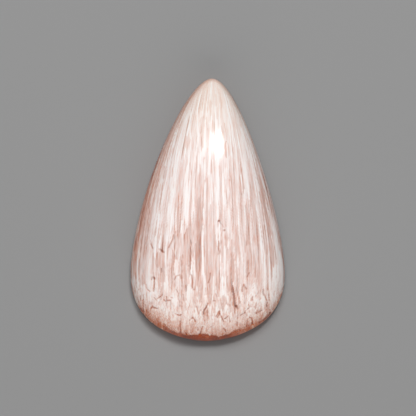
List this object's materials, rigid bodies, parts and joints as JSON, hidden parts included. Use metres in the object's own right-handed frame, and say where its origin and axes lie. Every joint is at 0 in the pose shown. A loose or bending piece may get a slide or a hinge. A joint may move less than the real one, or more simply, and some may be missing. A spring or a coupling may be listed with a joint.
{
  "type": "scolecite cabochon",
  "caption": "Pear-shaped polished scolecite cabochon with a high dome, a rounded tip, a low straight rim and a flat back to rest or set it on.",
  "frame": {"origin": "on the flat back, in the middle of the stone's length and width", "axes": "+Y along the stone towards its tip, +Z out of the back through the crown of the dome, +X to the right with the tip pointing away"},
  "size_m": [0.0258, 0.044, 0.0084],
  "materials": {
    "scolecite": "polished, silky fibrous white to pale pink, with red-brown streaks and a rust stain along the round end"
  },
  "bodies": {
    "root": {"cabochon": "scolecite"}
  },
  "joints": []
}
